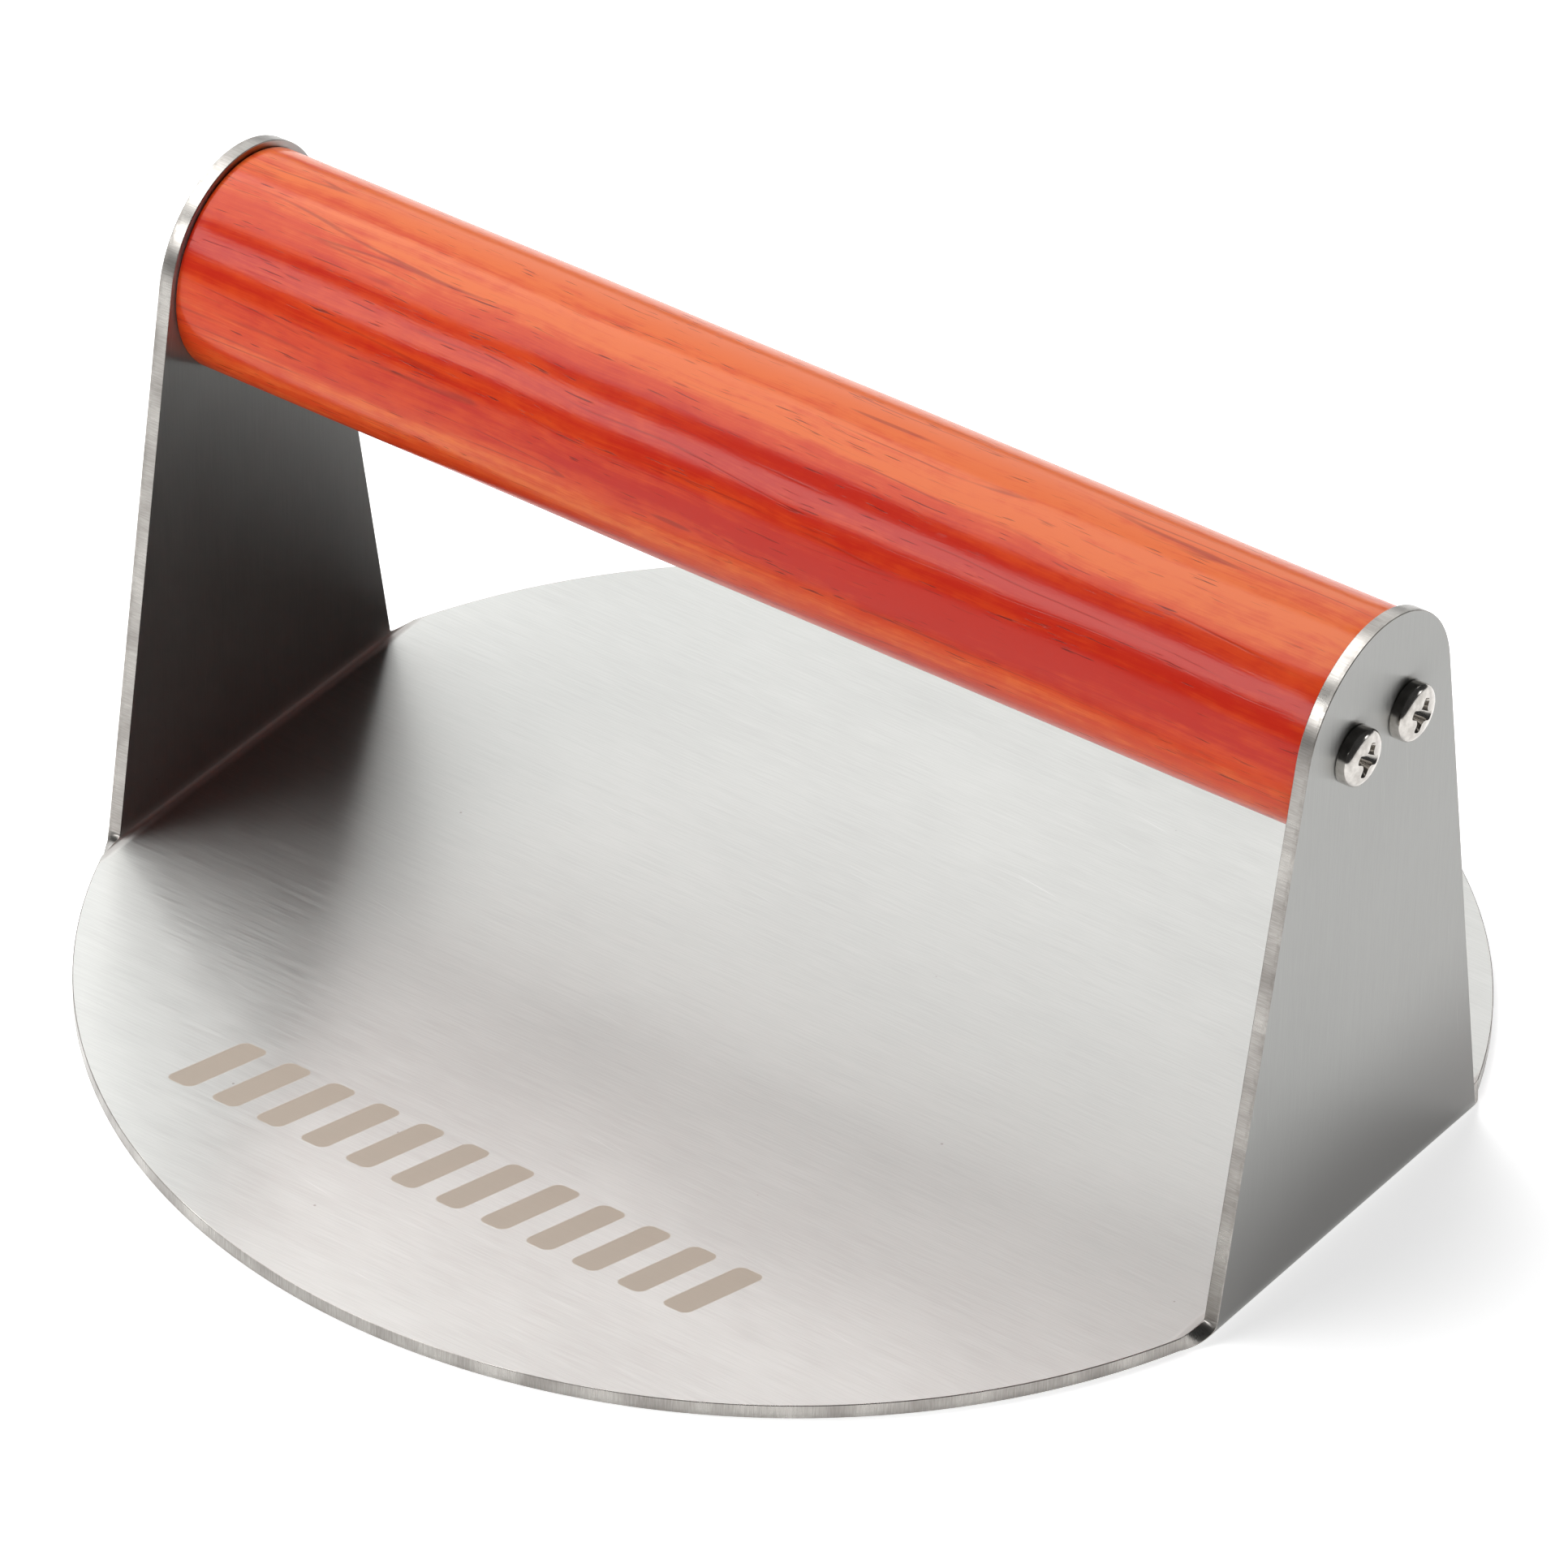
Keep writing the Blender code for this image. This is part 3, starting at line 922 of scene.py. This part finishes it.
@dataclass
class DowelHandle:
    """The wooden dowel, its ends cut to the slope of the tabs."""

    sheet: SheetSizes
    finish: StainedWood
    radius: float = 0.0136
    end_ease: float = 0.00025
    end_gap: float = 0.00006
    waver: float = 0.00006
    # each wave along and round the dowel: radians per metre, lobes, start and share
    waves: tuple[tuple[float, int, float, float], ...] = (
        (41.0, 2, 0.0, 1.0),
        (97.0, -3, 1.3, 1.0),
        (163.0, 1, 0.0, 0.6),
    )
    pilot_depth: float = 0.0213
    pilot_mouth: float = 0.004
    pilot_segments: int = 24
    segments: int = 144
    rings: int = 60
    ease_steps: int = 5
    sharp: float = math.radians(40.0)

    @property
    def half_length(self) -> float:
        """From the middle to an end, on the axis."""
        face = self.sheet.face_x(self.sheet.handle_height, self.sheet.bend_inner)
        return face - self.end_gap / math.cos(self.sheet.splay)

    def profile(self) -> Profile:
        """The dowel's outline, from one end to the other.

        Returns:
            The radius and the distance along the axis of each ring.
        """
        inner = self.radius - self.end_ease
        end = self.half_length - self.end_ease
        quarter = [math.pi / 2 * step / self.ease_steps for step in range(self.ease_steps + 1)]
        right = [(inner + self.end_ease * math.cos(t), end + self.end_ease * math.sin(t)) for t in quarter]
        left = [(reach, -along) for reach, along in reversed(right)]
        span = [-end + 2 * end * step / self.rings for step in range(1, self.rings)]
        return left + [(self.radius, along) for along in span] + right

    def ring(self, reach: float, along: float) -> list[Vector]:
        """One ring of the dowel, with the slight waver that sanding by hand leaves.

        Args:
            reach: the ring's radius.
            along: its distance along the axis.

        Returns:
            Its points, with a slope that follows the tabs.
        """
        made = []
        whole = sum(part for *_, part in self.waves)
        for step in range(self.segments):
            turn = math.tau * step / self.segments
            swell = 0.0
            for rate, lobes, start, part in self.waves:
                swell += part * math.sin(rate * along + lobes * turn + start)
            radius = reach - self.waver + self.waver * swell / whole
            y, z = radius * math.sin(turn), radius * math.cos(turn)
            x = along + math.copysign(1.0, along) * z * math.tan(self.sheet.splay)
            made.append(Vector((x, y, z)))
        return made

    def pilot_pin(self, side: Side, rank: Rank) -> bpy.types.Object:
        """Pin that cuts one pilot hole, in the dowel's own frame.

        Args:
            side: the dowel's end.
            rank: which of its two holes.

        Returns:
            The pin.
        """
        ends = (-self.pilot_depth, self.pilot_mouth)
        pin = skin([round_ring(self.sheet.screw_hole / 2, height, self.pilot_segments) for height in ends])
        place = ScrewFixing(self.sheet, side, rank).placing(0.0)
        pin.transform(Matrix.Translation((0.0, 0.0, -self.sheet.handle_height)) @ place)
        name = f"pilot_{side.name}_{rank.name}"
        return link_object(name, mesh_from(pin, name))

    def build(self) -> bpy.types.Object:
        """Turn the dowel, drill it and dress it.

        Returns:
            The finished handle.
        """
        solid = skin([self.ring(reach, along) for reach, along in self.profile()])
        blank = link_object("dowel", mesh_from(solid, "dowel"))
        blank.data.materials.append(self.finish.material())
        pins = [self.pilot_pin(side, rank) for side in Side for rank in Rank]
        cut = cut_and_keep(blank, pins)
        cut.name = "grip"
        cut.shade_smooth()
        cut.set_sharp_from_angle(angle=self.sharp)
        grip = link_object("grip", cut)
        grip.location = (0.0, 0.0, self.sheet.handle_height)
        bpy.context.view_layer.update()
        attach(grip, BODY)
        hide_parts("handle")
        return grip


# ---- screws ----


@dataclass(frozen=True)
class ScrewFixing:
    """Where one screw sits: which tab, and which of its two holes."""

    sheet: SheetSizes
    side: Side
    rank: Rank

    def placing(self, lift: float) -> Matrix:
        """Frame of the screw, with +Z square out of the tab.

        Args:
            lift: how far the origin is raised off the tab's outer face.

        Returns:
            The frame.
        """
        height = self.sheet.handle_height
        x = self.side.value * self.sheet.face_x(height, self.sheet.bend_outer)
        y = self.rank.value * self.sheet.screw_spacing / 2
        outward = Matrix.Rotation(self.side.value * (math.pi / 2 + self.sheet.splay), 4, "Y")
        return Matrix.Translation((x, y, height)) @ outward @ Matrix.Translation((0.0, 0.0, lift))


@dataclass
class PanHeadScrew:
    """One cross-recess pan-head wood screw."""

    fixing: ScrewFixing
    turn: float
    material: bpy.types.Material
    head_radius: float = 0.0035
    head_height: float = 0.0022
    head_wall: float = 0.0009
    dome_power: float = 0.60
    foot_ease: float = 0.00012
    shank_radius: float = 0.00172
    core_radius: float = 0.00120
    pitch: float = 0.0015
    length: float = 0.0199
    point_length: float = 0.0045
    plain_length: float = 0.0020
    point_radius: float = 0.0003
    ridge_steepness: float = 4.0
    recess_span: float = 0.0043
    recess_slot: float = 0.00112
    recess_depth: float = 0.0017
    recess_fillet: float = 0.00072
    recess_taper: float = 0.45
    recess_tip_share: float = 0.3
    recess_slot_taper: float = 0.2
    seat_gap: float = 0.00003
    segments: int = 72
    thread_steps: int = 110
    dome_steps: int = 16
    tip_steps: int = 3
    fillet_steps: int = 6
    sharp: float = math.radians(38.0)

    def thread_ring(self, height: float) -> list[Vector]:
        """One ring of the shank, its radius following the thread's ridge.

        Args:
            height: the ring's height, 0 under the head and less towards the point.

        Returns:
            Its points.
        """
        from_point = height + self.length
        taper = min(from_point / self.point_length, 1.0)
        crest = min(max((-height - self.plain_length) / self.pitch, 0.0), 1.0) * taper
        core = self.point_radius + (self.core_radius - self.point_radius) * taper
        if height > -self.plain_length:
            core += (self.shank_radius - core) * (1 + height / self.plain_length) ** 0.5
        made = []
        for step in range(self.segments):
            turn = math.tau * step / self.segments
            phase = (height / self.pitch - step / self.segments) % 1.0
            ridge = max(1 - abs(phase - 0.5) * self.ridge_steepness, 0.0)
            radius = core + (self.shank_radius - core) * ridge * crest
            made.append(Vector((radius * math.cos(turn), radius * math.sin(turn), height)))
        return made

    def rings(self) -> list[list[Vector]]:
        """All rings from the point to the crown of the head.

        Returns:
            The rings in order.
        """
        heights = [-self.length * (1 - step / self.thread_steps) for step in range(self.thread_steps)]
        made = [self.thread_ring(height) for height in heights]
        outline = [(self.shank_radius, 0.0), (self.head_radius - self.foot_ease, 0.0)]
        outline.append((self.head_radius, self.foot_ease))
        dome = self.head_height - self.head_wall
        for step in range(self.dome_steps):
            turn = math.pi / 2 * step / self.dome_steps
            reach = self.head_radius * math.cos(turn) ** self.dome_power
            outline.append((reach, self.head_wall + dome * math.sin(turn) ** self.dome_power))
        return made + [round_ring(radius, height, self.segments) for radius, height in outline]

    def cross(self, span: float, slot: float, fillet: float) -> list[Vector]:
        """Plus-shaped outline with rounded tips and filleted inner corners.

        Args:
            span: tip to tip.
            slot: width of a wing.
            fillet: radius where two wings meet.

        Returns:
            Corner points, counter-clockwise.
        """
        half, tip = slot / 2, slot * self.recess_tip_share
        arm = arc(Vector((span / 2 - tip, -half + tip)), tip, -math.pi / 2, 0.0, self.tip_steps)
        arm += arc(Vector((span / 2 - tip, half - tip)), tip, 0.0, math.pi / 2, self.tip_steps)
        arm += arc(Vector((half + fillet, half + fillet)), fillet, 1.5 * math.pi, math.pi, self.fillet_steps)
        turns = [Matrix.Rotation(quarter * math.pi / 2, 2) for quarter in range(4)]
        return [turn @ point for turn in turns for point in arm]

    def recess_pin(self, name: str) -> bpy.types.Object:
        """Tapered cross that cuts the drive recess.

        Args:
            name: the screw's name.

        Returns:
            The pin.
        """
        floor, rise = self.head_height - self.recess_depth, 2 * self.recess_depth
        narrow = self.recess_span * self.recess_taper
        wide = narrow + (self.recess_span - narrow) * rise / self.recess_depth
        rings = []
        for span, slot, height in (
            (narrow, self.recess_slot * (1 - self.recess_slot_taper), floor),
            (self.recess_span, self.recess_slot, self.head_height),
            (wide, self.recess_slot * (1 + self.recess_slot_taper), floor + rise),
        ):
            fillet = min(self.recess_fillet, (span - slot) / 2 - slot * self.recess_tip_share)
            rings.append([Vector((p.x, p.y, height)) for p in self.cross(span, slot, fillet)])
        return link_object(name + "_recess", mesh_from(skin(rings), name))

    def build(self) -> bpy.types.Object:
        """Turn the screw, cut its recess and seat it.

        Returns:
            The finished screw.
        """
        node = f"screw_{self.fixing.side.name.lower()}_{self.fixing.rank.name.lower()}"
        name = "pan_head_" + node
        blank = link_object(name + "_blank", mesh_from(skin(self.rings()), name))
        blank.data.materials.append(self.material)
        cut = cut_and_keep(blank, [self.recess_pin(name)])
        cut.shade_smooth()
        cut.set_sharp_from_angle(angle=self.sharp)
        screw = link_object(name, cut)
        screw.matrix_world = self.fixing.placing(self.seat_gap) @ Matrix.Rotation(self.turn, 4, "Z")
        bpy.context.view_layer.update()
        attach(screw, BODY)
        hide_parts(node)
        return screw


# ---- studio ----


@dataclass(frozen=True)
class SoftPanel:
    """A rectangular soft light that faces a point."""

    name: str
    place: tuple[float, float, float]
    size: tuple[float, float]
    radiance: float
    aim: tuple[float, float, float] = (0.0, 0.0, 0.03)

    def build(self) -> bpy.types.Object:
        """Hang the light; its power follows from its radiance and its area.

        Returns:
            The light.
        """
        lamp = bpy.data.lights.new(self.name, "AREA")
        lamp.shape = "RECTANGLE"
        lamp.size, lamp.size_y = self.size
        lamp.energy = self.radiance * math.pi * self.size[0] * self.size[1]
        made = bpy.data.objects.new(self.name, lamp)
        bpy.context.scene.collection.objects.link(made)
        made.location = self.place
        toward = Vector(self.aim) - Vector(self.place)
        made.rotation_mode = "QUATERNION"
        made.rotation_quaternion = toward.to_track_quat("-Z", "Y")
        return made


@dataclass(frozen=True)
class StillCamera:
    """Long lens that looks down at the press from the front right."""

    azimuth: float = math.radians(35.139)
    elevation: float = math.radians(35.567)
    roll: float = math.radians(1.079)
    target: tuple[float, float, float] = (0.00724, -0.01083, 0.03713)
    distance: float = 1.5303
    lens: float = 308.57
    sensor: float = 36.0
    nearest: float = 0.05
    farthest: float = 20.0

    def build(self) -> bpy.types.Object:
        """Place the camera and make it the scene's own.

        Returns:
            The camera.
        """
        level = math.cos(self.elevation)
        ahead, aside = math.cos(self.azimuth) * level, math.sin(self.azimuth) * level
        back = Vector((aside, -ahead, math.sin(self.elevation)))
        right = (-back).cross(Vector((0.0, 0.0, 1.0))).normalized()
        up = back.cross(right)
        rolled = math.cos(self.roll) * right + math.sin(self.roll) * up
        upward = math.cos(self.roll) * up - math.sin(self.roll) * right
        turn = Matrix((rolled, upward, back)).transposed().to_4x4()
        lens = bpy.data.cameras.new("still_camera")
        lens.lens = self.lens
        lens.sensor_width = self.sensor
        lens.clip_start, lens.clip_end = self.nearest, self.farthest
        made = bpy.data.objects.new("still_camera", lens)
        bpy.context.scene.collection.objects.link(made)
        made.matrix_world = Matrix.Translation(Vector(self.target) + self.distance * back) @ turn
        bpy.context.scene.camera = made
        return made


@dataclass
class Studio:
    """Pale floor, dim room and four soft lights."""

    floor: PaleFloor
    floor_half: float = 3.0
    floor_drop: float = 0.0002
    room: Color = (0.05, 0.05, 0.051)
    panels: tuple[SoftPanel, ...] = (
        SoftPanel("upper_left_bank", (-0.62, 0.02, 1.12), (1.15, 1.05), 3.7),
        SoftPanel("back_left_bank", (-0.66, 0.92, 0.72), (1.15, 1.05), 1.45),
        SoftPanel("front_left_bank", (-0.60, -0.98, 0.70), (0.90, 0.42), 5.2),
        SoftPanel("back_right_strip", (0.98, 0.80, 0.32), (0.20, 0.34), 2.6),
    )

    def build_floor(self) -> bpy.types.Object:
        """Lay the floor just under the press.

        Returns:
            The floor.
        """
        half = self.floor_half
        corners = [(-half, -half, 0.0), (half, -half, 0.0), (half, half, 0.0), (-half, half, 0.0)]
        mesh = bpy.data.meshes.new("floor")
        mesh.from_pydata(corners, [], [(0, 1, 2, 3)])
        mesh.materials.append(self.floor.material())
        floor = link_object("floor", mesh)
        floor.location.z = -self.floor_drop
        return floor

    def build(self) -> None:
        """Set up the floor, the lights, the room and the colour handling."""
        self.build_floor()
        for panel in self.panels:
            panel.build()
        room = bpy.data.worlds.new("room")
        room.use_nodes = True
        room.node_tree.nodes["Background"].inputs["Color"].default_value = (*self.room, 1.0)
        bpy.context.scene.world = room
        bpy.context.scene.view_settings.view_transform = "Standard"
        bpy.context.scene.view_settings.look = "None"


# ---- main ----


def main() -> None:
    """Build every piece in order and report it."""
    logging.basicConfig(level=logging.INFO, format="%(name)s: %(message)s")
    sheet = SheetSizes()
    plate = PressPlate(sheet, BrushedSteel(), CutEdge()).build()
    LOG.info("%s: %d faces", plate.name, len(plate.data.polygons))
    grip = DowelHandle(sheet, StainedWood()).build()
    LOG.info("%s: %d faces", grip.name, len(grip.data.polygons))
    nickel = PolishedNickel().material()
    recess_turns = {
        (Side.RIGHT, Rank.FRONT): -27.0,
        (Side.RIGHT, Rank.BACK): -29.0,
        (Side.LEFT, Rank.FRONT): 14.0,
        (Side.LEFT, Rank.BACK): 38.0,
    }
    for (side, rank), degrees in recess_turns.items():
        screw = PanHeadScrew(ScrewFixing(sheet, side, rank), math.radians(degrees), nickel).build()
        LOG.info("%s: %d faces", screw.name, len(screw.data.polygons))
    Studio(PaleFloor()).build()
    camera = StillCamera().build()
    LOG.info("%s and the studio are ready", camera.name)


if __name__ == "__main__":
    main()
